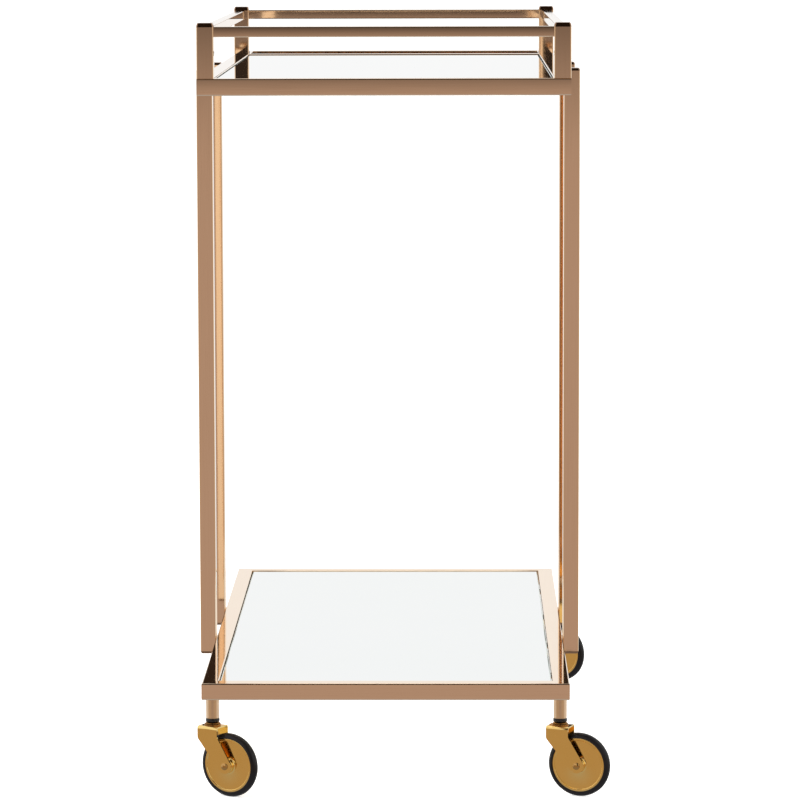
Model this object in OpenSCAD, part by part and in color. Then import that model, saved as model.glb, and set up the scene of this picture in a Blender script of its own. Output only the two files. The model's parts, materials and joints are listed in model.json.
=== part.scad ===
// Bar cart on wheels: two mirrored shelves in a square-tube frame with a push handle, on four
// swivel casters.
// X runs across the cart, Y along it, Z up. The origin is on the floor, under the cart's centre.
// Millimetres.

/* [Frame] */
// Side of the square tube of the frames, posts and legs
tube = 18; // [14:1:24]
// Wall of the square tube
tube_wall = 1.2; // [1:0.1:2]
// Rounding of the tube's long edges
tube_round = 1.5; // [1.3:0.1:2.5]
// Width of both frames, across the cart
frame_w = 392; // [340:1:480]
// Length of both frames, along the cart
frame_l = 775; // [600:5:900]
// Open height between the two frames
shelf_gap = 624; // [450:1:700]
// Height of the lower frame's underside above the floor
ride_h = 112; // [112:1:130]
// Open gap between the upper frame's rear rail and the push handle
handle_gap = 100; // [80:5:130]

/* [Gallery] */
// Rise of the corner posts above the upper frame
post_rise = 58; // [40:1:80]
// Side of the gallery rail's square tube
gallery_size = 11; // [8:0.5:14]
// Wall of the gallery rail
gallery_wall = 1; // [0.8:0.1:1.5]
// Drop of the gallery rail below the post's top
gallery_drop = 4; // [2:0.5:8]
// Thickness of the caps on the posts, outside the tube
post_cap_t = 4.5; // [3:0.5:6]

/* [Legs] */
// Distance between the two legs of one side, centre to centre
leg_spacing = 188; // [100:1:400]
// Reach of the leg below the lower frame
leg_reach = 1.5; // [0:0.5:6]
// Thickness of the caps on the legs' ends, outside the tube
leg_cap_t = 3; // [2:0.5:3]

/* [Shelves] */
// Depth of the upper mirror's face below the rails' top
upper_recess = 1; // [0.5:0.5:4]
// Depth of the lower mirror's face below the rails' top
lower_recess = 1; // [0.5:0.5:4]
// Thickness of the mirror glass
mirror_t = 4; // [3:0.5:5]
// Thickness of the backing board
board_t = 6; // [4:0.5:6]
// Gap between the panels and the rails, all round
panel_gap = 1; // [0.5:0.1:2]

/* [Casters] */
// Distance of the caster's stem from the frame's end
caster_inset = 48; // [40:1:90]
// Diameter of the wheel over its tyre
wheel_d = 69; // [60:1:70]
// Width of the wheel over its tyre
wheel_w = 10.5; // [9:0.5:12]
// Distance of the axle behind the stem
trail = 22; // [16:1:28]
// Heading of the front left wheel, clockwise from +X seen from above
heading_fl = 30; // [0:1:359]
// Heading of the front right wheel
heading_fr = 20; // [0:1:359]
// Heading of the rear left wheel
heading_rl = 25; // [0:1:359]
// Heading of the rear right wheel
heading_rr = 35; // [0:1:359]

/* [Hidden] */
$fn = 48;
eps = 0.01;

// Levels of the frames
lower_z = ride_h;
upper_z = lower_z + tube + shelf_gap;
top_z = upper_z + tube;
post_top_z = top_z + post_rise;
gallery_z = post_top_z - gallery_drop - gallery_size;

// Centre lines of the rails
rail_x = frame_w / 2 - tube / 2;
rail_y = frame_l / 2 - tube / 2;
leg_x = frame_w / 2 + tube / 2;
leg_y = leg_spacing / 2;
handle_y = frame_l / 2 + handle_gap + tube;

// Panels
panel_w = frame_w - 2 * tube - 2 * panel_gap;
panel_l = frame_l - 2 * tube - 2 * panel_gap;
tab_t = 1.5;
tab_reach = 14;
tab_l = 30;
tab_x = frame_w / 2 - tube;
tab_y = frame_l / 2 - tube;
tab_places = [-0.36, -0.12, 0.12, 0.36];
tab_screw_inset = 8;

// Fasteners
bolt_d = 6;
bolt_head_d = 10;
bolt_head_h = 3.3;
nut_d = 9;
nut_l = 12;
fit = 0.05;

// Caps
cap_round = 2.4;
plug_l = 6;

// Caster, measured down from the lower frame's underside
sleeve_d = 14.2;
sleeve_l = 28.5;
ring_d = 15;
ring_h = 3.5;
play = 0.3;
race_d = 18;
race_h = 3.9;
plate_t = 1.6;
stem_d = 9.6;
kingpin_d = 8;
kingpin_head_d = 12;
kingpin_head_h = 2.4;
race_top = -(sleeve_l + ring_h + play);
fork_top = race_top - race_h;
axle_z = wheel_d / 2 - ride_h;

// Fork
fork_w = 22.4;
fork_half = 12.5;
fork_bend = 3;
fork_shoulder = 11;
fork_shoulder_r = 6;
fork_tip_r = 8;
axle_d = 6;
axle_head_d = 8;
axle_head_h = 2;

// Wheel
tyre_t = 5.5;
disc_r = wheel_d / 2 - tyre_t;
groove_r = disc_r - 2;
disc_w = wheel_w - 1;
web_w = disc_w - 1.6;
lip_w = 2.6;
hub_r = 8;
bush_r = 5;
bush_w = fork_w - 2 * plate_t - 2 * play;
hub_w = bush_w - 1;

// ---- shared shapes ----

module rounded_square(side, r) {
    square([side - 2 * r, side], center = true);
    square([side, side - 2 * r], center = true);
    for (x = [-1, 1], y = [-1, 1])
        translate([x * (side / 2 - r), y * (side / 2 - r)]) circle(r);
}

// Square tube standing on z = 0
module tube_up(len, side, wall, r) {
    linear_extrude(len) difference() {
        rounded_square(side, r);
        rounded_square(side - 2 * wall, r - wall / 2);
    }
}

// Square tube centred on the origin along X
module tube_x(len, side, wall, r) {
    translate([-len / 2, 0, 0]) rotate([90, 0, 90]) tube_up(len, side, wall, r);
}

// Square tube centred on the origin along Y
module tube_y(len, side, wall, r) {
    rotate([0, 0, 90]) tube_x(len, side, wall, r);
}

module rose() { color([0.80, 0.62, 0.50]) children(); }
module gold() { color([0.80, 0.62, 0.28]) children(); }

// ---- frames ----

// Rail across the cart, mitred at both ends, with its outer face at y = outer
module cross_rail(z, outer) {
    inner = outer - sign(outer) * tube;
    rose() intersection() {
        translate([0, (outer + inner) / 2, z + tube / 2]) tube_x(frame_w, tube, tube_wall, tube_round);
        translate([0, 0, z - 1]) linear_extrude(tube + 2) polygon([
            [-frame_w / 2, outer], [frame_w / 2, outer],
            [frame_w / 2 - tube, inner], [-frame_w / 2 + tube, inner]
        ]);
    }
}

// Upper frame's rear rail, butted between the side rails that run on to the handle
module upper_rear_rail() {
    rose() translate([0, rail_y, upper_z + tube / 2])
        tube_x(frame_w - 2 * tube, tube, tube_wall, tube_round);
}

// Rail along the cart at the left, side = -1, or right, side = 1, with its leg bolt holes. It runs
// from the frame's front to y = back, mitred at both ends
module side_rail(z, side, back) {
    rose() difference() {
        intersection() {
            translate([side * rail_x, back / 2 - frame_l / 4, z + tube / 2])
                tube_y(back + frame_l / 2, tube, tube_wall, tube_round);
            translate([0, 0, z - 1]) linear_extrude(tube + 2) polygon([
                [side * frame_w / 2, -frame_l / 2], [side * frame_w / 2, back],
                [side * (frame_w / 2 - tube), back - tube],
                [side * (frame_w / 2 - tube), -frame_l / 2 + tube]
            ]);
        }
        for (y = [-leg_y, leg_y]) {
            translate([side * rail_x, y, z + tube / 2]) rotate([0, side * 90, 0])
                cylinder(d = bolt_d + 0.4, h = tube);
            translate([side * (rail_x - tube), y, z + tube / 2]) rotate([0, side * 90, 0])
                cylinder(d = bolt_head_d + 1, h = tube);
        }
    }
}

// Lower side rail, with the holes that the caster stems pass through
module lower_side_rail(side) {
    rose() difference() {
        side_rail(lower_z, side, frame_l / 2);
        for (y = [-1, 1]) translate([side * rail_x, y * (frame_l / 2 - caster_inset), lower_z - 1])
            cylinder(d = stem_d + 0.6, h = tube / 2);
    }
}

module post(x, y) {
    rose() translate([x * rail_x, y * rail_y, top_z])
        tube_up(post_rise - post_cap_t, tube, tube_wall, tube_round);
}

module gallery_cross_rail(side) {
    rose() translate([0, side * rail_y, gallery_z + gallery_size / 2])
        tube_x(frame_w - 2 * tube, gallery_size, gallery_wall, tube_round * 0.75);
}

module gallery_side_rail(side) {
    rose() translate([side * rail_x, 0, gallery_z + gallery_size / 2])
        tube_y(frame_l - 2 * tube, gallery_size, gallery_wall, tube_round * 0.75);
}

// Leg against the outside of both side rails, with the two holes for its rivet nuts
module leg(x, y) {
    low = lower_z - leg_reach + leg_cap_t;
    rose() difference() {
        translate([x * leg_x, y * leg_y, low])
            tube_up(top_z - leg_cap_t - low, tube, tube_wall, tube_round);
        for (z = [lower_z, upper_z]) translate([x * (frame_w / 2 - 1), y * leg_y, z + tube / 2])
            rotate([0, x * 90, 0]) cylinder(d = nut_d + 2 * fit, h = tube / 2);
    }
}

// Plug cap for the tube's end, its plate's underside on z = 0 and its plug below
module cap(plate) {
    plug = tube - 2 * tube_wall - 0.2;
    cap_plate(plate);
    translate([0, 0, -plug_l]) linear_extrude(plug_l + eps) difference() {
        rounded_square(plug, tube_round - tube_wall / 2);
        rounded_square(plug - 3, tube_round / 2);
    }
}

// Plate with the tube's outline, its top edges rounded over
module cap_plate(plate) {
    intersection() {
        linear_extrude(plate) rounded_square(tube, tube_round);
        translate([0, tube, plate]) rotate([90, 0, 0])
            linear_extrude(2 * tube) strip_fill(tube / 2, cap_round, plate + 1);
        translate([-tube, 0, plate]) rotate([90, 0, 90])
            linear_extrude(2 * tube) strip_fill(tube / 2, cap_round, plate + 1);
    }
}

module post_caps() {
    rose() for (x = [-1, 1], y = [-1, 1])
        translate([x * rail_x, y * rail_y, post_top_z - post_cap_t]) cap(post_cap_t);
}

// Cap for a leg's end, its plug kept on the +X side only, to clear the rivet nut
module leg_cap() {
    difference() {
        cap(leg_cap_t);
        translate([-tube, -tube, -plug_l - 1]) cube([tube / 2 + nut_l + 0.8, 2 * tube, plug_l + 1]);
    }
}

module leg_end_caps() {
    rose() for (x = [-1, 1], y = [-1, 1]) translate([x * leg_x, y * leg_y, 0]) {
        translate([0, 0, top_z - leg_cap_t]) rotate([0, 0, x > 0 ? 0 : 180]) leg_cap();
        translate([0, 0, lower_z - leg_reach + leg_cap_t])
            rotate([180, 0, x > 0 ? 0 : 180]) leg_cap();
    }
}

// Runs its children at each leg joint, with +Z turned to point out of the cart
module at_leg_joints() {
    for (x = [-1, 1], y = [-1, 1], z = [lower_z, upper_z])
        translate([x * frame_w / 2, y * leg_y, z + tube / 2]) rotate([0, x * 90, 0]) children();
}

// Button-head bolt: its head bears on the rail's outer wall from inside the tube
module leg_bolts() {
    color("dimgray") at_leg_joints() difference() {
        union() {
            translate([0, 0, -tube_wall - bolt_head_h]) cylinder(d = bolt_head_d, h = bolt_head_h);
            translate([0, 0, -tube_wall - eps]) cylinder(d = bolt_d - 2 * fit, h = nut_l + tube_wall - 2);
        }
        translate([0, 0, -tube_wall - bolt_head_h - 1]) cylinder(d = 4, h = 3, $fn = 6);
    }
}

// Threaded insert crimped behind the leg's inner wall
module leg_rivet_nuts() {
    color("lightgray") at_leg_joints() difference() {
        union() {
            cylinder(d = nut_d, h = nut_l);
            translate([0, 0, tube_wall + fit]) cylinder(d = nut_d + 2.5, h = 2.5);
        }
        translate([0, 0, -1]) cylinder(d = bolt_d, h = nut_l + 2);
    }
}

// ---- shelves ----

module mirror_panel(z, recess) {
    color([0.93, 0.95, 0.95]) translate([-panel_w / 2, -panel_l / 2, z + tube - recess - mirror_t])
        cube([panel_w, panel_l, mirror_t]);
}

module backing_board(z, recess) {
    color([0.85, 0.83, 0.80]) difference() {
        translate([-panel_w / 2, -panel_l / 2, z + tube - recess - mirror_t - board_t])
            cube([panel_w, panel_l, board_t]);
        at_tabs(z, recess) translate([tab_screw_inset, 0, tab_t / 2]) cylinder(d = 3, h = tab_t / 2 + 4);
    }
}

// Runs its children at each tab, on the rail's inner face, with +X turned towards the shelf's centre
module at_tabs(z, recess) {
    tab_z = z + tube - recess - mirror_t - board_t - tab_t;
    for (side = [-1, 1], place = tab_places)
        translate([side * tab_x, place * frame_l, tab_z]) rotate([0, 0, side > 0 ? 180 : 0]) children();
    for (side = [-1, 1], place = [-0.25, 0.25])
        translate([place * frame_w, side * tab_y, tab_z]) rotate([0, 0, side > 0 ? -90 : 90]) children();
}

module panel_tabs(z, recess) {
    rose() at_tabs(z, recess) difference() {
        translate([0, -tab_l / 2, 0]) cube([tab_reach, tab_l, tab_t]);
        translate([tab_screw_inset, 0, -1]) cylinder(d = 3.4, h = tab_t + 2);
    }
}

module panel_screws() {
    color("gray") for (shelf = [[lower_z, lower_recess], [upper_z, upper_recess]])
        at_tabs(shelf[0], shelf[1]) translate([tab_screw_inset, 0, 0]) {
            translate([0, 0, -1.6]) cylinder(d = 6, h = 1.6);
            translate([0, 0, -eps]) cylinder(d = 2.9, h = tab_t + 4);
        }
}

// ---- casters ----

// Runs its children at every caster's stem, with z = 0 at the frame's underside
module at_casters() {
    for (x = [-1, 1], y = [-1, 1])
        translate([x * rail_x, y * (frame_l / 2 - caster_inset), lower_z]) children();
}

// Runs its children at one caster, turned so that its wheel trails along +X
module at_caster(x, y, heading) {
    translate([x * rail_x, y * (frame_l / 2 - caster_inset), lower_z])
        rotate([0, 0, -heading]) children();
}

module caster_sleeves() {
    rose() at_casters() difference() {
        translate([0, 0, -sleeve_l]) cylinder(d = sleeve_d, h = sleeve_l);
        translate([0, 0, -sleeve_l - 1]) cylinder(d = stem_d + 2 * fit, h = sleeve_l + 2);
    }
}

module caster_stems() {
    head_top = fork_top - plate_t - play;
    stem_low = -sleeve_l - ring_h;
    color("silver") at_casters() {
        translate([0, 0, stem_low]) cylinder(d = stem_d, h = 8 - stem_low);
        translate([0, 0, head_top - eps]) cylinder(d = kingpin_d, h = stem_low - head_top + 2 * eps);
        translate([0, 0, head_top - kingpin_head_h]) cylinder(d = kingpin_head_d, h = kingpin_head_h);
    }
}

module stem_rings() {
    color([0.08, 0.08, 0.08]) at_casters() difference() {
        translate([0, 0, -sleeve_l - ring_h]) cylinder(d = ring_d, h = ring_h);
        translate([0, 0, -sleeve_l - ring_h - 1]) cylinder(d = stem_d + 2 * fit, h = ring_h + 2);
    }
}

// Direction of the common tangent's normal, for two circles, on the side given
function tangent_turn(c1, r1, c2, r2, side) =
    atan2(c2[1] - c1[1], c2[0] - c1[0]) + side * acos((r1 - r2) / norm(c2 - c1));

function on_circle(c, r, turn) = c + r * [cos(turn), sin(turn)];

// Block with the side view of the fork's legs, the stem's axis at x = 0 and the fork's top at y = 0
module fork_block() {
    tip = [trail, axle_z - fork_top];
    shoulder = [-fork_half + fork_shoulder_r, -fork_shoulder];
    notch = [fork_half, -fork_shoulder];
    rear_turn = tangent_turn(shoulder, fork_shoulder_r, tip, fork_tip_r, -1);
    front_turn = tangent_turn(notch, 0, tip, fork_tip_r, 1);
    linear_extrude(fork_w) polygon([
        [-fork_half, 0], [fork_half, 0], notch,
        on_circle(tip, fork_tip_r, front_turn), on_circle(tip, fork_tip_r, rear_turn),
        on_circle(shoulder, fork_shoulder_r, rear_turn), [-fork_half, -fork_shoulder]
    ]);
    translate(shoulder) cylinder(r = fork_shoulder_r, h = fork_w);
    translate(tip) cylinder(r = fork_tip_r, h = fork_w);
}

// Folded sheet: the end view of the bent strip, cut by the side view of its legs
module fork() {
    gold() difference() {
        intersection() {
            translate([0, fork_w / 2, fork_top]) rotate([90, 0, 0]) fork_block();
            translate([-fork_half - 1, 0, fork_top]) rotate([90, 0, 90])
                linear_extrude(fork_half + trail + fork_tip_r + 3) strip_end();
        }
        translate([0, 0, fork_top - plate_t - 1]) cylinder(d = kingpin_d + 2 * fit, h = plate_t + 2);
        translate([trail, fork_w, axle_z]) rotate([90, 0, 0])
            cylinder(d = axle_d + 2 * fit, h = 2 * fork_w);
    }
}

// End view of the folded strip, its top on y = 0
module strip_end() {
    deep = 60;
    difference() {
        strip_fill(fork_w / 2, fork_bend, deep);
        translate([0, -plate_t]) strip_fill(fork_w / 2 - plate_t, fork_bend - plate_t, deep);
    }
}

// Band from y = -deep up to 0, its two upper corners rounded
module strip_fill(half, r, deep) {
    translate([-half, -deep]) square([2 * half, deep - r]);
    translate([-half + r, -deep]) square([2 * half - 2 * r, deep]);
    for (side = [-1, 1]) translate([side * (half - r), -r]) circle(r);
}

// Ball race cup on the fork's plate
module race() {
    gold() rotate_extrude() polygon([
        [kingpin_d / 2 + fit, fork_top], [race_d / 2, fork_top], [race_d / 2, fork_top + race_h - 2],
        [race_d / 2 - 2.4, race_top], [kingpin_d / 2 + fit, race_top]
    ]);
}

// Runs its children on the axle, with +Z along it
module on_axle() {
    translate([trail, 0, axle_z]) rotate([90, 0, 0]) children();
}

// Axle bolt with its dome head outside one fork leg and its nut outside the other
module axle() {
    color([0.75, 0.70, 0.60]) on_axle() {
        translate([0, 0, -fork_w / 2 - 3]) cylinder(d = axle_d, h = fork_w + 3 + eps);
        translate([0, 0, fork_w / 2]) rotate_extrude() polygon([
            [0, 0], [axle_head_d / 2, 0], [axle_head_d / 2, axle_head_h / 2],
            [axle_head_d / 2 - 1, axle_head_h], [0, axle_head_h]
        ]);
        translate([0, 0, -fork_w / 2 - 4]) difference() {
            cylinder(d = 9.5, h = 4, $fn = 6);
            translate([0, 0, -1]) cylinder(d = axle_d - 0.4, h = 3);
        }
    }
}

// Wheel body: hub, flat web and the channel that holds the tyre
module disc() {
    gold() on_axle() rotate_extrude($fn = 96) polygon([
        [bush_r + fit, -hub_w / 2], [hub_r - 1, -hub_w / 2], [hub_r, -hub_w / 2 + 1],
        [hub_r, -web_w / 2], [disc_r - 2.6, -web_w / 2], [disc_r - 2, -disc_w / 2],
        [disc_r, -disc_w / 2], [disc_r, -disc_w / 2 + lip_w], [groove_r, -disc_w / 2 + lip_w],
        [groove_r, disc_w / 2 - lip_w], [disc_r, disc_w / 2 - lip_w], [disc_r, disc_w / 2],
        [disc_r - 2, disc_w / 2], [disc_r - 2.6, web_w / 2], [hub_r, web_w / 2],
        [hub_r, hub_w / 2 - 1], [hub_r - 1, hub_w / 2], [bush_r + fit, hub_w / 2]
    ]);
}

module bushing() {
    color("white") on_axle() difference() {
        cylinder(d = 2 * bush_r, h = bush_w, center = true);
        cylinder(d = axle_d + 2 * fit, h = bush_w + 2, center = true);
    }
}

// Tyre: a round tread with a root that fills the wheel's channel
module tyre() {
    root = disc_w / 2 - lip_w - fit;
    tread_r = wheel_w / 2;
    color([0.09, 0.08, 0.10]) on_axle() rotate_extrude($fn = 96) union() {
        translate([groove_r + fit, -root]) square([disc_r - groove_r + 1, 2 * root]);
        intersection() {
            translate([disc_r + fit, -tread_r]) square([tyre_t - fit, 2 * tread_r]);
            translate([wheel_d / 2 - tread_r, 0]) circle(tread_r);
        }
    }
}

// ---- assembly ----

cross_rail(upper_z, -frame_l / 2);  // upper_front_rail
upper_rear_rail();
side_rail(upper_z, -1, handle_y);  // upper_left_rail
side_rail(upper_z, 1, handle_y);  // upper_right_rail
cross_rail(upper_z, handle_y);  // handle_bar
cross_rail(lower_z, -frame_l / 2);  // lower_front_rail
cross_rail(lower_z, frame_l / 2);  // lower_rear_rail
lower_side_rail(-1);  // lower_left_rail
lower_side_rail(1);  // lower_right_rail
post(-1, -1);  // post_front_left
post(1, -1);  // post_front_right
post(-1, 1);  // post_rear_left
post(1, 1);  // post_rear_right
gallery_cross_rail(-1);  // gallery_front_rail
gallery_cross_rail(1);  // gallery_rear_rail
gallery_side_rail(-1);  // gallery_left_rail
gallery_side_rail(1);  // gallery_right_rail
leg(-1, -1);  // leg_front_left
leg(1, -1);  // leg_front_right
leg(-1, 1);  // leg_rear_left
leg(1, 1);  // leg_rear_right
post_caps();
leg_end_caps();
leg_bolts();
leg_rivet_nuts();
mirror_panel(upper_z, upper_recess);  // upper_mirror
mirror_panel(lower_z, lower_recess);  // lower_mirror
backing_board(upper_z, upper_recess);  // upper_board
backing_board(lower_z, lower_recess);  // lower_board
panel_tabs(upper_z, upper_recess);  // upper_panel_tabs
panel_tabs(lower_z, lower_recess);  // lower_panel_tabs
panel_screws();
caster_sleeves();
caster_stems();
stem_rings();
at_caster(-1, -1, heading_fl) fork();  // fork_front_left
at_caster(1, -1, heading_fr) fork();  // fork_front_right
at_caster(-1, 1, heading_rl) fork();  // fork_rear_left
at_caster(1, 1, heading_rr) fork();  // fork_rear_right
at_caster(-1, -1, heading_fl) race();  // race_front_left
at_caster(1, -1, heading_fr) race();  // race_front_right
at_caster(-1, 1, heading_rl) race();  // race_rear_left
at_caster(1, 1, heading_rr) race();  // race_rear_right
at_caster(-1, -1, heading_fl) axle();  // axle_front_left
at_caster(1, -1, heading_fr) axle();  // axle_front_right
at_caster(-1, 1, heading_rl) axle();  // axle_rear_left
at_caster(1, 1, heading_rr) axle();  // axle_rear_right
at_caster(-1, -1, heading_fl) disc();  // disc_front_left
at_caster(1, -1, heading_fr) disc();  // disc_front_right
at_caster(-1, 1, heading_rl) disc();  // disc_rear_left
at_caster(1, 1, heading_rr) disc();  // disc_rear_right
at_caster(-1, -1, heading_fl) bushing();  // bushing_front_left
at_caster(1, -1, heading_fr) bushing();  // bushing_front_right
at_caster(-1, 1, heading_rl) bushing();  // bushing_rear_left
at_caster(1, 1, heading_rr) bushing();  // bushing_rear_right
at_caster(-1, -1, heading_fl) tyre();  // tyre_front_left
at_caster(1, -1, heading_fr) tyre();  // tyre_front_right
at_caster(-1, 1, heading_rl) tyre();  // tyre_rear_left
at_caster(1, 1, heading_rr) tyre();  // tyre_rear_right
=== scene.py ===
"""Bar cart on wheels: the looks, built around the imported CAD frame. Metres, +Z up, origin on the floor."""
import json
import math

import bmesh
import bpy
from mathutils import Matrix, Vector


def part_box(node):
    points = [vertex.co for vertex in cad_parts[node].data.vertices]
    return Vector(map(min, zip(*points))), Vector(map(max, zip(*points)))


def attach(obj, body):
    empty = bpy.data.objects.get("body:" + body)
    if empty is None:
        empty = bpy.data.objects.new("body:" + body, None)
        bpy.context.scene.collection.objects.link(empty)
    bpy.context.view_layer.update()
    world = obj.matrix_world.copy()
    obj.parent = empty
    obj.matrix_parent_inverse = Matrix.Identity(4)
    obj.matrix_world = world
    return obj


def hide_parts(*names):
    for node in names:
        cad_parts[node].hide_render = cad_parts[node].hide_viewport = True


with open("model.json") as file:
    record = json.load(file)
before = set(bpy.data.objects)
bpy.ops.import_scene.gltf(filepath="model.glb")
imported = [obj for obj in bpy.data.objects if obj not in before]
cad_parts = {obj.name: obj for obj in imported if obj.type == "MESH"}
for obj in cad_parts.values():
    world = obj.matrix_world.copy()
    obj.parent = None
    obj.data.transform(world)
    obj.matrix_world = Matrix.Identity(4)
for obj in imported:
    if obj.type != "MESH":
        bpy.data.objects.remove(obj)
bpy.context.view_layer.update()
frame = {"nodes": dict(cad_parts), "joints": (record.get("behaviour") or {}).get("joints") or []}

MM = 0.001
CASTERS = ("front_left", "front_right", "rear_left", "rear_right")
JOINTS = {joint["name"]: joint for joint in frame["joints"]}

# Sizes that the looks add to the CAD's own
TUBE_ROUND = 1.4 * MM          # rounding of the frame tube's long edges
TUBE_WALL = 1.2 * MM
GALLERY_ROUND = 1.1 * MM       # rounding of the gallery rail's edges
GALLERY_WALL = 1.0 * MM
CAP_INSET = 1.9 * MM           # how far the end caps draw in from base to top
GLASS_BEVEL = 1.2 * MM         # polished bevel round the mirrors, seen from above
GLASS_BEVEL_DROP = 0.6 * MM    # its depth
GLASS_CORNER = 1.0 * MM        # rounding of the mirrors' corners
STEM_CLEARANCE = 4.9 * MM      # radius of the bore that the sleeve and the ring leave for the stem


# ---------------------------------------------------------------- node helpers

def srgb(red, green, blue):
    """Linear colour, with alpha, from 0 to 255 display values."""
    def linear(value):
        value /= 255
        return value / 12.92 if value <= 0.04045 else ((value + 0.055) / 1.055) ** 2.4
    return (linear(red), linear(green), linear(blue), 1.0)


class Nodes:
    """Short calls for building one node tree."""

    def __init__(self, tree):
        self.tree = tree
        tree.nodes.clear()

    def add(self, kind, **settings):
        node = self.tree.nodes.new(kind)
        for key, value in settings.items():
            setattr(node, key, value)
        return node

    def link(self, source, target):
        self.tree.links.new(source, target)

    def put(self, socket, value):
        if isinstance(value, bpy.types.NodeSocket):
            self.link(value, socket)
        else:
            socket.default_value = value

    def math(self, operation, first, second=0.0):
        node = self.add("ShaderNodeMath", operation=operation)
        self.put(node.inputs[0], first)
        self.put(node.inputs[1], second)
        return node.outputs[0]

    def map_range(self, value, low, high, to_low=0.0, to_high=1.0):
        node = self.add("ShaderNodeMapRange", interpolation_type="SMOOTHSTEP")
        self.put(node.inputs["Value"], value)
        self.put(node.inputs["From Min"], low)
        self.put(node.inputs["From Max"], high)
        self.put(node.inputs["To Min"], to_low)
        self.put(node.inputs["To Max"], to_high)
        return node.outputs["Result"]

    def blend(self, factor, first, second):
        node = self.add("ShaderNodeMix", data_type="RGBA")
        self.put(node.inputs["Factor"], factor)
        self.put(node.inputs[6], first)
        self.put(node.inputs[7], second)
        return node.outputs[2]

    def coords(self, stretch=(1, 1, 1)):
        place = self.add("ShaderNodeTexCoord")
        mapping = self.add("ShaderNodeMapping")
        mapping.inputs["Scale"].default_value = stretch
        self.link(place.outputs["Object"], mapping.inputs["Vector"])
        return mapping.outputs["Vector"]

    def noise(self, vector, scale, detail=3.0, roughness=0.55):
        node = self.add("ShaderNodeTexNoise")
        self.link(vector, node.inputs["Vector"])
        node.inputs["Scale"].default_value = scale
        node.inputs["Detail"].default_value = detail
        node.inputs["Roughness"].default_value = roughness
        return node.outputs["Fac"]

    def bump(self, height, strength, distance):
        node = self.add("ShaderNodeBump")
        self.put(node.inputs["Height"], height)
        node.inputs["Strength"].default_value = strength
        node.inputs["Distance"].default_value = distance
        return node.outputs["Normal"]


def new_material(name):
    material = bpy.data.materials.new(name)
    material.use_nodes = True
    nodes = Nodes(material.node_tree)
    shader = nodes.add("ShaderNodeBsdfPrincipled")
    output = nodes.add("ShaderNodeOutputMaterial")
    nodes.link(shader.outputs["BSDF"], output.inputs["Surface"])
    return material, nodes, shader


# ---------------------------------------------------------------- materials

def plated_tube(name, grain, satin=0.0, tones=((250, 224, 195), (251, 228, 201), (236, 206, 174))):
    """Rose-gold plating over steel tube, polished along the tube. grain is the tube's axis, 0 to 2;
    satin adds to its roughness; tones are the two that it drifts between and its streaks'."""
    material, nodes, shader = new_material(name)
    stretch = [900.0, 900.0, 900.0]
    stretch[grain] = 14.0
    hairline = nodes.noise(nodes.coords(stretch), 1.0, 4.0, 0.65)
    cloud = nodes.noise(nodes.coords(), 9.0, 3.0)
    tone = nodes.blend(cloud, srgb(*tones[0]), srgb(*tones[1]))
    streaked = nodes.blend(nodes.map_range(hairline, 0.35, 0.75, 0.0, 0.2), tone, srgb(*tones[2]))
    nodes.link(streaked, shader.inputs["Base Color"])
    rough = nodes.math("ADD", nodes.map_range(hairline, 0.3, 0.8, 0.03 + satin, 0.065 + satin),
                       nodes.map_range(cloud, 0.35, 0.7, 0.0, 0.015))
    nodes.link(rough, shader.inputs["Roughness"])
    shader.inputs["Metallic"].default_value = 1.0
    nodes.link(nodes.bump(hairline, 0.04, 0.00001), shader.inputs["Normal"])
    return material


def polished_gold(name, turned=False):
    """Bright yellow-gold plating. turned adds the fine rings that a lathe leaves."""
    material, nodes, shader = new_material(name)
    coords = nodes.coords()
    haze = nodes.noise(coords, 60.0, 4.0)
    spots = nodes.noise(coords, 700.0, 2.0)
    tone = nodes.blend(haze, srgb(252, 222, 150), srgb(250, 214, 134))
    nodes.link(tone, shader.inputs["Base Color"])
    shader.inputs["Metallic"].default_value = 1.0
    rough = nodes.math("ADD", nodes.map_range(haze, 0.35, 0.7, 0.07, 0.13),
                       nodes.map_range(spots, 0.55, 0.75, 0.0, 0.05))
    nodes.link(rough, shader.inputs["Roughness"])
    height = nodes.noise(coords, 35.0, 2.0)
    if turned:
        shader.inputs["Anisotropic"].default_value = 0.35
    nodes.link(nodes.bump(height, 0.05, 0.0002), shader.inputs["Normal"])
    return material


def bright_metal(name, colour, low, high):
    """Plain plated steel. Its roughness drifts from low to high."""
    material, nodes, shader = new_material(name)
    grain = nodes.noise(nodes.coords(), 400.0, 4.0)
    darker = tuple(channel * 0.8 for channel in colour[:3]) + (1.0,)
    nodes.link(nodes.blend(grain, darker, colour), shader.inputs["Base Color"])
    nodes.link(nodes.map_range(grain, 0.3, 0.7, low, high), shader.inputs["Roughness"])
    shader.inputs["Metallic"].default_value = 1.0
    nodes.link(nodes.bump(grain, 0.08, 0.0001), shader.inputs["Normal"])
    return material


def silvered_glass(name):
    """The mirror's face: near-perfect reflection with a breath of haze and dust."""
    material, nodes, shader = new_material(name)
    coords = nodes.coords()
    haze = nodes.noise(coords, 5.0, 4.0)
    dust = nodes.noise(coords, 1500.0, 2.0)
    tone = nodes.blend(haze, srgb(247, 249, 249), srgb(243, 247, 246))
    nodes.link(tone, shader.inputs["Base Color"])
    shader.inputs["Metallic"].default_value = 1.0
    rough = nodes.math("ADD", nodes.map_range(haze, 0.4, 0.75, 0.012, 0.03),
                       nodes.map_range(dust, 0.68, 0.8, 0.0, 0.05))
    nodes.link(rough, shader.inputs["Roughness"])
    return material


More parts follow.
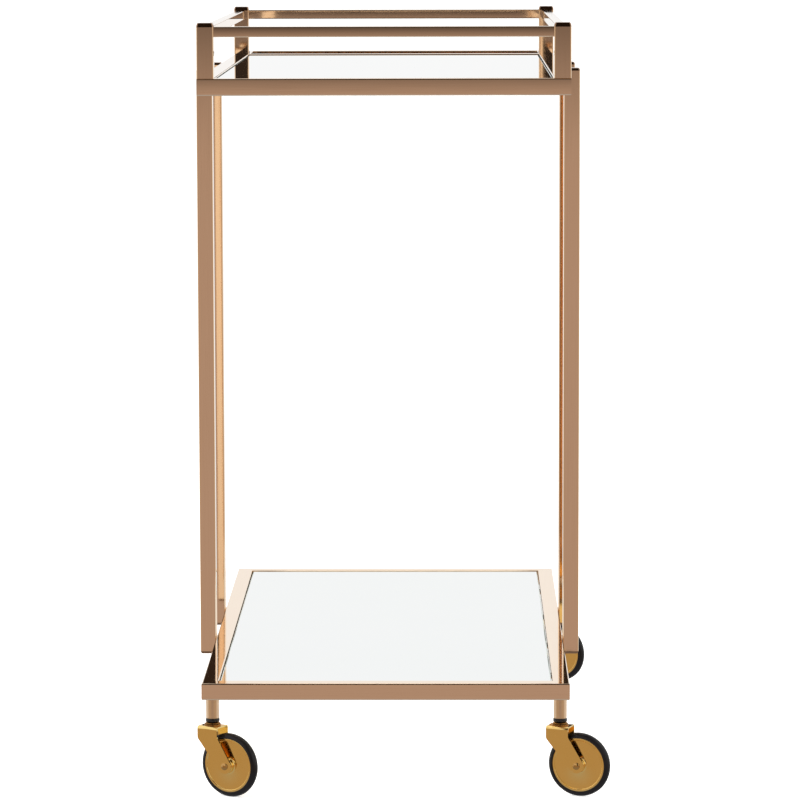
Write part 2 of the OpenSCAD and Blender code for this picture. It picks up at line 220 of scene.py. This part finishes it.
def glass_edge(name):
    """Ground and polished edge of the float glass, faintly green."""
    material, nodes, shader = new_material(name)
    grain = nodes.noise(nodes.coords(), 900.0, 3.0)
    nodes.link(nodes.blend(grain, srgb(150, 168, 160), srgb(196, 210, 203)), shader.inputs["Base Color"])
    nodes.link(nodes.map_range(grain, 0.3, 0.7, 0.12, 0.3), shader.inputs["Roughness"])
    shader.inputs["Metallic"].default_value = 0.35
    shader.inputs["Coat Weight"].default_value = 0.6
    shader.inputs["Coat Roughness"].default_value = 0.05
    return material


def painted_board(name):
    """Off-white painted fibreboard, seen from below."""
    material, nodes, shader = new_material(name)
    coords = nodes.coords()
    fibre = nodes.noise(coords, 260.0, 6.0, 0.7)
    mottle = nodes.noise(coords, 14.0, 3.0)
    tone = nodes.blend(mottle, srgb(222, 216, 206), srgb(234, 229, 220))
    nodes.link(nodes.blend(nodes.map_range(fibre, 0.5, 0.8, 0.0, 0.35), tone, srgb(196, 188, 175)),
               shader.inputs["Base Color"])
    nodes.link(nodes.map_range(fibre, 0.3, 0.7, 0.5, 0.68), shader.inputs["Roughness"])
    nodes.link(nodes.bump(fibre, 0.35, 0.0002), shader.inputs["Normal"])
    return material


def black_rubber(name):
    """Moulded tyre rubber: dark, with a satin bloom and faint scuffs."""
    material, nodes, shader = new_material(name)
    coords = nodes.coords()
    grain = nodes.noise(coords, 1100.0, 4.0)
    bloom = nodes.noise(coords, 45.0, 3.0)
    tone = nodes.blend(nodes.map_range(bloom, 0.4, 0.75), srgb(11, 6, 8), srgb(20, 14, 17))
    nodes.link(tone, shader.inputs["Base Color"])
    nodes.link(nodes.map_range(bloom, 0.3, 0.7, 0.3, 0.46), shader.inputs["Roughness"])
    shader.inputs["Specular IOR Level"].default_value = 0.35
    nodes.link(nodes.bump(grain, 0.15, 0.0001), shader.inputs["Normal"])
    return material


def moulded_plastic(name, dark, light, low, high):
    """Plain moulded plastic. Its colour drifts from dark to light, and its roughness from low to high."""
    material, nodes, shader = new_material(name)
    grain = nodes.noise(nodes.coords(), 800.0, 3.0)
    nodes.link(nodes.blend(grain, dark, light), shader.inputs["Base Color"])
    nodes.link(nodes.map_range(grain, 0.3, 0.7, low, high), shader.inputs["Roughness"])
    nodes.link(nodes.bump(grain, 0.1, 0.0001), shader.inputs["Normal"])
    return material


TUBE_METAL = [plated_tube("rose_gold_along_" + axis, index) for index, axis in enumerate("xyz")]
SATIN_TUBE = plated_tube("rose_gold_satin", 2, 0.27, ((238, 206, 170), (241, 210, 176), (224, 190, 150)))
# The caps get a far darker copy of the frame's rose-gold plating: painted dark reflection, added to what
# their crowned tops really mirror.
CAP_METAL_PAINTED_DARK = plated_tube("cap_plating_painted_dark_reflection", 0, 0.08, ((158, 122, 92), (166, 130, 99), (140, 106, 80)))
GOLD = polished_gold("caster_gold")
GOLD_TURNED = polished_gold("caster_gold_turned", turned=True)
AXLE_METAL = bright_metal("axle_steel", srgb(206, 160, 96), 0.14, 0.24)
# The race's gold is painted much darker than the fork's: painted shade and dark reflection round the balls,
# between the stem ring and the fork.
RACE_METAL_PAINTED_SHADE = bright_metal("race_gold_painted_shade", srgb(160, 112, 56), 0.16, 0.3)
FASTENER = bright_metal("zinc_fastener", srgb(190, 190, 192), 0.2, 0.34)
MIRROR = silvered_glass("mirror_face")
GLASS = glass_edge("mirror_edge")
BOARD = painted_board("painted_board")
RUBBER = black_rubber("tyre_rubber")
RING = moulded_plastic("black_ring", srgb(12, 12, 13), srgb(20, 19, 20), 0.25, 0.4)
NYLON = moulded_plastic("nylon_bush", srgb(214, 212, 204), srgb(228, 226, 219), 0.4, 0.55)


# ---------------------------------------------------------------- mesh helpers

def finish_piece(name, bm, materials, body, nodes, smooth_angle=35.0):
    """Turns a bmesh into a piece that rides on a body and stands for CAD nodes."""
    bmesh.ops.recalc_face_normals(bm, faces=bm.faces)
    mesh = bpy.data.meshes.new(name)
    bm.to_mesh(mesh)
    bm.free()
    for polygon in mesh.polygons:
        polygon.use_smooth = True
    mesh.set_sharp_from_angle(angle=math.radians(smooth_angle))
    piece = bpy.data.objects.new(name, mesh)
    bpy.context.scene.collection.objects.link(piece)
    for material in materials:
        mesh.materials.append(material)
    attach(piece, body)
    if nodes:
        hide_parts(*nodes)
    return piece


def flatten_shading(piece):
    """Keeps the flats evenly shaded right up to their rounded edges."""
    weighted = piece.modifiers.new("flat_faces", "WEIGHTED_NORMAL")
    weighted.weight = 90
    weighted.keep_sharp = True
    return piece


def soften(piece, width, segments, angle):
    """Bevels the piece's sharp edges, so that they catch the light."""
    bevel = piece.modifiers.new("soft_edges", "BEVEL")
    bevel.width = width
    bevel.segments = segments
    bevel.limit_method = "ANGLE"
    bevel.angle_limit = math.radians(angle)
    bevel.harden_normals = True
    return piece


def rounded_outline(half_a, half_b, radius, steps=5):
    """Closed outline of a rounded rectangle as (a, b) points."""
    points = []
    for sign_a, sign_b, start in ((1, 1, 0), (-1, 1, 90), (-1, -1, 180), (1, -1, 270)):
        for step in range(steps + 1):
            turn = math.radians(start + 90 * step / steps)
            points.append((sign_a * (half_a - radius) + radius * math.cos(turn),
                           sign_b * (half_b - radius) + radius * math.sin(turn)))
    return points


def add_ring(bm, points):
    return [bm.verts.new(point) for point in points]


def bridge(bm, first, second):
    count = len(first)
    for index in range(count):
        after = (index + 1) % count
        bm.faces.new((first[index], first[after], second[after], second[index]))


def lathe(bm, profile, place, segments, closed=True):
    """Turns a profile of (radius, height) points about place's +Z."""
    rings = []
    for radius, height in profile:
        if radius < 1e-7:
            rings.append([bm.verts.new(place @ Vector((0, 0, height)))])
            continue
        turns = [2 * math.pi * index / segments for index in range(segments)]
        points = [Vector((radius * math.cos(turn), radius * math.sin(turn), height)) for turn in turns]
        rings.append(add_ring(bm, [place @ point for point in points]))
    pairs = list(zip(rings, rings[1:]))
    if closed:
        pairs.append((rings[-1], rings[0]))
    for low, high in pairs:
        if len(low) == 1 and len(high) == 1:
            continue
        for index in range(segments):
            after = (index + 1) % segments
            if len(low) == 1:
                bm.faces.new((low[0], high[after], high[index]))
            elif len(high) == 1:
                bm.faces.new((low[index], low[after], high[0]))
            else:
                bm.faces.new((low[index], low[after], high[after], high[index]))


def arc(centre, radius, start, end, steps):
    """Points on an arc in the profile's plane, in degrees."""
    return [(centre[0] + radius * math.cos(math.radians(start + (end - start) * step / steps)),
             centre[1] + radius * math.sin(math.radians(start + (end - start) * step / steps)))
            for step in range(steps + 1)]


# ---------------------------------------------------------------- frame tubes

def tube_piece(node, axis, radius, wall, mitre=None):
    """Hollow square tube with rounded edges, over the CAD node's box.
    mitre is the axis and the side, -1 or 1, of the face that keeps the tube's full length."""
    low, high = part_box(node)
    centre = (low + high) / 2
    half = (high - low) / 2
    across = [index for index in range(3) if index != axis]
    half_a, half_b = half[across[0]], half[across[1]]
    bm = bmesh.new()

    def ring(outline, end, share):
        points = []
        for a, b in outline:
            point = Vector((0, 0, 0))
            point[across[0]] = centre[across[0]] + a
            point[across[1]] = centre[across[1]] + b
            reach = half[axis]
            if mitre:
                offset = {across[0]: (a, half_a), across[1]: (b, half_b)}[mitre[0]]
                reach -= offset[1] - mitre[1] * offset[0]
            point[axis] = centre[axis] + end * reach * share
            points.append(point)
        return add_ring(bm, points)

    outer = rounded_outline(half_a, half_b, radius)
    inner = rounded_outline(half_a - wall, half_b - wall, radius * 0.5)
    shares = [-1, -0.5, 0, 0.5, 1]
    skins = []
    for outline in (outer, inner):
        rings = [ring(outline, math.copysign(1, share), abs(share)) for share in shares]
        for first, second in zip(rings, rings[1:]):
            bridge(bm, first, second)
        skins.append(rings)
    bridge(bm, skins[0][0], skins[1][0])
    bridge(bm, skins[0][-1], skins[1][-1])
    tube = finish_piece("tube_" + node, bm, [TUBE_METAL[axis]], "cart", [node])
    return flatten_shading(tube)


for level in ("upper", "lower"):
    tube_piece(level + "_front_rail", 0, TUBE_ROUND, TUBE_WALL, (1, -1))
    tube_piece(level + "_rear_rail", 0, TUBE_ROUND, TUBE_WALL, None if level == "upper" else (1, 1))
    tube_piece(level + "_left_rail", 1, TUBE_ROUND, TUBE_WALL, (0, -1))
    tube_piece(level + "_right_rail", 1, TUBE_ROUND, TUBE_WALL, (0, 1))
tube_piece("handle_bar", 0, TUBE_ROUND, TUBE_WALL, (1, 1))
for corner in CASTERS:
    tube_piece("post_" + corner, 2, TUBE_ROUND, TUBE_WALL)
    tube_piece("leg_" + corner, 2, TUBE_ROUND, TUBE_WALL)
for side, axis in (("front", 0), ("rear", 0), ("left", 1), ("right", 1)):
    tube_piece(f"gallery_{side}_rail", axis, GALLERY_ROUND, GALLERY_WALL)


def pillow_cap(bm, x, y, base, top, half):
    """Crowned plate from base to top, which may point up or down. Its sides are part of an ellipse."""
    start = math.radians(20)
    steps = 9
    rings = []
    for step in range(steps + 1):
        turn = start + (math.pi / 2 - start) * step / steps
        climb = (math.sin(turn) - math.sin(start)) / (1 - math.sin(start))
        rings.append((half - CAP_INSET * (math.cos(start) - math.cos(turn)), base + (top - base) * climb))
    made = []
    for size, height in rings:
        outline = rounded_outline(size, size, TUBE_ROUND)
        made.append(add_ring(bm, [(x + a, y + b, height) for a, b in outline]))
    for first, second in zip(made, made[1:]):
        bridge(bm, first, second)
    bm.faces.new(made[0])
    bm.faces.new(made[-1])


def cap_pieces():
    """One cap on each post, and one on both ends of each leg as a single piece."""
    for kind, node in (("post", "post_caps"), ("leg", "leg_end_caps")):
        bottom, top = (corner.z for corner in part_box(node))
        for corner in CASTERS:
            low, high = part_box(f"{kind}_{corner}")
            x, y = (low.x + high.x) / 2, (low.y + high.y) / 2
            half = (high.x - low.x) / 2
            bm = bmesh.new()
            pillow_cap(bm, x, y, high.z, top, half)
            if kind == "leg":
                pillow_cap(bm, x, y, low.z, bottom, half)
            # Their plating is painted dark, standing in for the dark reflection on the caps.
            cap = finish_piece(f"{kind}_cap_{corner}", bm, [CAP_METAL_PAINTED_DARK], "cart", [node])
            flatten_shading(cap)


cap_pieces()


# ---------------------------------------------------------------- shelves

def mirror_piece(node):
    """Mirror glass: silvered face, polished bevel and ground edge."""
    low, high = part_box(node)
    centre = (low + high) / 2
    half = (high - low) / 2
    bm = bmesh.new()
    levels = [(0.0, low.z), (0.0, high.z - GLASS_BEVEL_DROP), (GLASS_BEVEL, high.z)]
    rings = []
    for inset, height in levels:
        outline = rounded_outline(half.x - inset, half.y - inset, GLASS_CORNER, 3)
        rings.append(add_ring(bm, [(centre.x + a, centre.y + b, height) for a, b in outline]))
    for first, second in zip(rings, rings[1:]):
        bridge(bm, first, second)
    bm.faces.new(rings[0])
    face = bm.faces.new(rings[-1])
    for other in bm.faces:
        other.material_index = 1
    face.material_index = 0
    return finish_piece(node + "_glass", bm, [MIRROR, GLASS], "cart", [node], smooth_angle=10.0)


mirror_piece("upper_mirror")
mirror_piece("lower_mirror")


def dress(node, material):
    """Gives a CAD node its material."""
    piece = frame["nodes"][node]
    piece.data.materials.clear()
    piece.data.materials.append(material)


for node in ("upper_board", "lower_board"):
    dress(node, BOARD)
for node in ("upper_panel_tabs", "lower_panel_tabs"):
    dress(node, TUBE_METAL[0])
for node in ("leg_bolts", "leg_rivet_nuts", "panel_screws", "caster_stems"):
    dress(node, FASTENER)


# ---------------------------------------------------------------- casters

def caster_frame(corner):
    """Matrix of one caster's stem, with its origin at floor level."""
    swivel = JOINTS["swivel_" + corner]["pos_m"]
    return Matrix.Translation((swivel[0], swivel[1], 0))


def sleeve_piece(corner, place):
    low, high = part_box("caster_sleeves")
    bore, radius, edge = STEM_CLEARANCE, 7.1 * MM, 0.5 * MM
    profile = [(bore, high.z), (radius, high.z), (radius, low.z + edge)]
    profile += [(radius - edge, low.z), (bore, low.z)]
    bm = bmesh.new()
    lathe(bm, profile, place, 64)
    finish_piece("sleeve_" + corner, bm, [SATIN_TUBE], "cart", ["caster_sleeves"])


def ring_piece(corner, place):
    low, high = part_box("stem_rings")
    bore, radius, edge = STEM_CLEARANCE, 7.5 * MM, 0.8 * MM
    profile = [(bore, low.z)] + arc((radius - edge, low.z + edge), edge, -90, 0, 4)
    profile += arc((radius - edge, high.z - edge), edge, 0, 90, 4) + [(bore, high.z)]
    bm = bmesh.new()
    lathe(bm, profile, place, 64)
    finish_piece("stem_ring_" + corner, bm, [RING], "cart", ["stem_rings"])


def race_piece(corner, place):
    """Pressed ball cup under a cone, with the ring of balls showing between them."""
    low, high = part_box("race_" + corner)
    base, top = low.z, high.z
    bore, cup_r, cup_h, lip, sheet = 4.05 * MM, 9.0 * MM, 1.25 * MM, 0.3 * MM, 0.5 * MM
    bm = bmesh.new()
    cup = [(bore, base), (cup_r, base), (cup_r, base + cup_h)]
    cup += arc((cup_r - lip, base + cup_h), lip, 0, 180, 4)
    cup += [(cup_r - 2 * lip, base + sheet), (bore, base + sheet)]
    lathe(bm, cup, place, 72)
    # The cone flares out over the balls, steps in, and rounds over at its top
    cone = [(bore, base + 1.3 * MM), (6.0 * MM, base + 1.3 * MM), (7.9 * MM, base + 2.35 * MM)]
    cone += arc((7.5 * MM, base + 2.6 * MM), 0.45 * MM, 0, 60, 3) + [(6.9 * MM, top - 0.35 * MM)]
    cone += arc((6.3 * MM, top - 0.4 * MM), 0.4 * MM, 30, 90, 3) + [(bore, top)]
    lathe(bm, cone, place, 72)
    balls, ball_r, track_r = 18, 0.85 * MM, 7.25 * MM
    for index in range(balls):
        turn = 2 * math.pi * index / balls
        spot = place @ Vector((track_r * math.cos(turn), track_r * math.sin(turn), base + 1.35 * MM))
        bmesh.ops.create_icosphere(bm, subdivisions=2, radius=ball_r, matrix=Matrix.Translation(spot))
    # Its darker gold is painted shade for the gap between ring and fork.
    finish_piece("race_cup_" + corner, bm, [RACE_METAL_PAINTED_SHADE], "caster_" + corner,
                 ["race_" + corner])


def axle_frame(corner):
    """Matrix of one wheel: origin at its centre, +Z along the axle towards the bolt's head, +Y up."""
    spin = JOINTS["spin_" + corner]
    axis = Vector(spin["axis"]).normalized()
    up = Vector((0, 0, 1))
    along = up.cross(axis)
    place = Matrix.Identity(4)
    for row in range(3):
        place[row][0], place[row][1], place[row][2] = along[row], up[row], axis[row]
    place.translation = Vector(spin["pos_m"])
    return place


def mirrored(half_profile):
    """Closed profile from its +Z half, given from the bore outwards."""
    return [(r, z) for r, z in half_profile] + [(r, -z) for r, z in reversed(half_profile)]


DISC_R = (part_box("disc_front_left")[1].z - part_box("disc_front_left")[0].z) / 2


def disc_piece(corner, place):
    """Turned wheel: hub barrel with a fillet, flat web, bevelled rim, and the tyre's channel."""
    bore, hub, hub_half = 5.05 * MM, 8.0 * MM, 8.8 * MM
    web, rim, face, edge = 3.95 * MM, 4.75 * MM, DISC_R, 0.3 * MM
    fillet = 1.2 * MM
    half = [(bore, hub_half)]
    half += arc((hub - 0.8 * MM, hub_half - 0.8 * MM), 0.8 * MM, 90, 0, 4)
    half += arc((hub + fillet, web + fillet), fillet, 180, 270, 5)
    half += [(face - 2.6 * MM, web), (face - 2.5 * MM, web + 0.05 * MM), (face - 2.1 * MM, rim - 0.1 * MM),
             (face - 1.95 * MM, rim)]
    half += arc((face - edge, rim - edge), edge, 90, 0, 4)
    half += [(face, rim - 2.6 * MM), (face - 2.0 * MM, rim - 2.6 * MM)]
    bm = bmesh.new()
    lathe(bm, mirrored(half), place, 128)
    finish_piece("wheel_disc_" + corner, bm, [GOLD_TURNED], "wheel_" + corner,
                 ["disc_" + corner], smooth_angle=25.0)


def tyre_piece(corner, place):
    """Moulded tyre: round tread with a parting ridge and side lines, and a root in the channel."""
    centre, round_r, root = DISC_R + 0.25 * MM, 5.25 * MM, 2.1 * MM
    seat = DISC_R + 0.05 * MM
    half = [(seat - 2.0 * MM, root), (seat, root), (seat, 4.85 * MM), (seat + 0.25 * MM, 5.2 * MM)]
    for turn in range(84, 5, -6):
        reach = round_r - (0.16 * MM if turn == 60 else 0)
        half.append((centre + reach * math.cos(math.radians(turn)), reach * math.sin(math.radians(turn))))
    half += [(centre + round_r - 0.03 * MM, 0.45 * MM), (centre + round_r + 0.1 * MM, 0.2 * MM)]
    bm = bmesh.new()
    lathe(bm, mirrored(half), place, 128)
    finish_piece("wheel_tyre_" + corner, bm, [RUBBER], "wheel_" + corner, ["tyre_" + corner],
                 smooth_angle=60.0)


def axle_piece(corner, place):
    """Bolt with a domed head on one side, and a chamfered hexagon nut on its other end."""
    seat, shank = 11.2 * MM, 3.0 * MM
    head_r, neck, dome = 4.0 * MM, 0.4 * MM, 1.6 * MM
    bm = bmesh.new()
    head = [(0.0, seat), (head_r, seat), (head_r, seat + neck)]
    for turn in range(12, 90, 11):
        rise = dome * math.sin(math.radians(turn))
        head.append((head_r * math.cos(math.radians(turn)), seat + neck + rise))
    head.append((0.0, seat + neck + dome))
    lathe(bm, head, place, 48, closed=False)
    tip = -seat - 3.0 * MM
    rod = [(0.0, seat), (shank, seat), (shank, tip + 0.4 * MM), (shank - 0.5 * MM, tip), (0.0, tip)]
    lathe(bm, rod, place, 48, closed=False)
    nut_r, sides = 4.75 * MM, 72
    flat_r = nut_r * math.cos(math.pi / 6)
    whole = 9.9
    # Each level of the nut is its depth past the seat, and the reach that it is cut back to
    levels = ((0.0, whole), (2.9, whole), (3.3, 4.62), (3.6, 4.42),
              (3.85, 4.2), (4.0, 4.0), (4.0, 2.9), (1.0, 2.9))
    rings = []
    for depth, limit in levels:
        points = []
        for index in range(sides):
            turn = 2 * math.pi * index / sides
            hexagon = flat_r / math.cos((turn % (math.pi / 3)) - math.pi / 6)
            reach = min(hexagon, nut_r, limit * MM)
            point = Vector((reach * math.cos(turn), reach * math.sin(turn), -seat - depth * MM))
            points.append(place @ point)
        rings.append(add_ring(bm, points))
    for first, second in zip(rings, rings[1:]):
        bridge(bm, first, second)
    bridge(bm, rings[-1], rings[0])
    finish_piece("axle_bolt_" + corner, bm, [AXLE_METAL], "caster_" + corner, ["axle_" + corner],
                 smooth_angle=28.0)


def bushing_piece(corner, place):
    """Nylon bush in the hub, chamfered inside and outside at both ends."""
    bore, radius, half_w = 3.05 * MM, 5.0 * MM, 9.3 * MM
    inner, outer = 0.3 * MM, 0.4 * MM
    half = [(bore, half_w - inner), (bore + inner, half_w)]
    half += [(radius - outer, half_w), (radius, half_w - outer)]
    bm = bmesh.new()
    lathe(bm, mirrored(half), place, 48)
    finish_piece("wheel_bush_" + corner, bm, [NYLON], "wheel_" + corner, ["bushing_" + corner])


def fork_finish(corner):
    """Plated sheet, with its cut edges and its bends softened."""
    dress("fork_" + corner, GOLD)
    piece = frame["nodes"]["fork_" + corner]
    weld = piece.modifiers.new("weld", "WELD")
    weld.merge_threshold = 0.01 * MM
    soften(piece, 0.35 * MM, 2, 50.0)


def build_casters():
    """Every piece of the four casters."""
    for corner in CASTERS:
        place = caster_frame(corner)
        sleeve_piece(corner, place)
        ring_piece(corner, place)
        race_piece(corner, place)
        fork_finish(corner)
        wheel = axle_frame(corner)
        disc_piece(corner, wheel)
        tyre_piece(corner, wheel)
        axle_piece(corner, wheel)
        bushing_piece(corner, wheel)


build_casters()


# ---------------------------------------------------------------- studio

def build_floor():
    """White sweep: so evenly lit that it keeps hardly any shadow. The plating mirrors the studio's
    world instead of it."""
    bm = bmesh.new()
    bmesh.ops.create_grid(bm, x_segments=24, y_segments=24, size=120.0)
    mesh = bpy.data.meshes.new("studio_floor")
    bm.to_mesh(mesh)
    bm.free()
    floor = bpy.data.objects.new("studio_floor", mesh)
    bpy.context.scene.collection.objects.link(floor)
    material, nodes, shader = new_material("studio_floor_paint")
    cloud = nodes.noise(nodes.coords(), 0.8, 2.0)
    paint = nodes.blend(cloud, srgb(249, 249, 249), srgb(251, 251, 251))
    nodes.link(paint, shader.inputs["Base Color"])
    nodes.link(paint, shader.inputs["Emission Color"])
    shader.inputs["Emission Strength"].default_value = 0.5
    shader.inputs["Roughness"].default_value = 0.9
    shader.inputs["Specular IOR Level"].default_value = 0.1
    mesh.materials.append(material)
    floor.visible_glossy = False


def build_world():
    """Plain white studio. The front faces mirror a dim warm room, with a dark flag above it."""
    world = bpy.data.worlds.new("studio")
    bpy.context.scene.world = world
    world.use_nodes = True
    nodes = Nodes(world.node_tree)
    place = nodes.add("ShaderNodeTexCoord")
    split = nodes.add("ShaderNodeSeparateXYZ")
    nodes.link(place.outputs["Generated"], split.inputs[0])
    # Parts of the direction looked in: +X to the right, +Y away from the camera, +Z up
    x, y, z = split.outputs
    beside = nodes.math("ABSOLUTE", x)
    dim, flag = (0.44, 0.325, 0.265, 1.0), (0.03, 0.022, 0.018, 1.0)
    warm, white = (0.45, 0.32, 0.20, 1.0), (0.95, 0.95, 0.95, 1.0)
    under = (0.42, 0.42, 0.44, 1.0)
    room = nodes.blend(nodes.map_range(z, -0.06, 0.0), dim, flag)
    wings = nodes.blend(nodes.map_range(z, 0.0, 0.08), warm, white)
    front = nodes.blend(nodes.map_range(beside, 0.15, 0.42), room, wings)
    backdrop = nodes.blend(nodes.map_range(z, -0.35, -0.08), under, white)
    studio = nodes.blend(nodes.map_range(y, -0.04, 0.22), front, backdrop)
    studio = nodes.blend(nodes.map_range(beside, 0.93, 0.985), studio, white)
    studio = nodes.blend(nodes.map_range(z, -0.45, -0.20), under, studio)
    shade = nodes.add("ShaderNodeBackground")
    nodes.link(studio, shade.inputs["Color"])
    output = nodes.add("ShaderNodeOutputWorld")
    nodes.link(shade.outputs[0], output.inputs["Surface"])


def build_lights():
    """Two wide soft boxes, high on the left and the right."""
    for name, place, power, size in (("key_box", (-2.2, -1.6, 2.6), 90.0, 1.8),
                                     ("fill_box", (2.6, 1.0, 2.2), 60.0, 2.2)):
        light = bpy.data.lights.new(name, "AREA")
        light.shape = "SQUARE"
        light.size = size
        light.energy = power
        lamp = bpy.data.objects.new(name, light)
        bpy.context.scene.collection.objects.link(lamp)
        lamp.visible_glossy = False
        lamp.location = place
        aim = Vector((0, 0, 0.45)) - Vector(place)
        lamp.rotation_euler = aim.to_track_quat("-Z", "Y").to_euler()


def build_camera():
    """Long lens, a little above the gallery and just right of the cart's middle, looking along +Y."""
    yaw, pitch, roll = math.radians(-0.717), math.radians(6.759), math.radians(0.133)
    forward = Vector((math.sin(yaw) * math.cos(pitch), math.cos(yaw) * math.cos(pitch), -math.sin(pitch)))
    level_right = Vector((math.cos(yaw), -math.sin(yaw), 0))
    level_down = forward.cross(level_right)
    right = math.cos(roll) * level_right + math.sin(roll) * level_down
    up = math.sin(roll) * level_right - math.cos(roll) * level_down
    data = bpy.data.cameras.new("camera")
    data.sensor_width = 36.0
    data.lens = 184.33
    camera = bpy.data.objects.new("camera", data)
    bpy.context.scene.collection.objects.link(camera)
    camera.matrix_world = Matrix.Translation((0.0698, -4.6761, 0.9420)) @ Matrix(
        (right, up, -forward)).transposed().to_4x4()
    bpy.context.scene.camera = camera


build_floor()
build_world()
build_lights()
build_camera()
bpy.context.scene.view_settings.view_transform = "Standard"
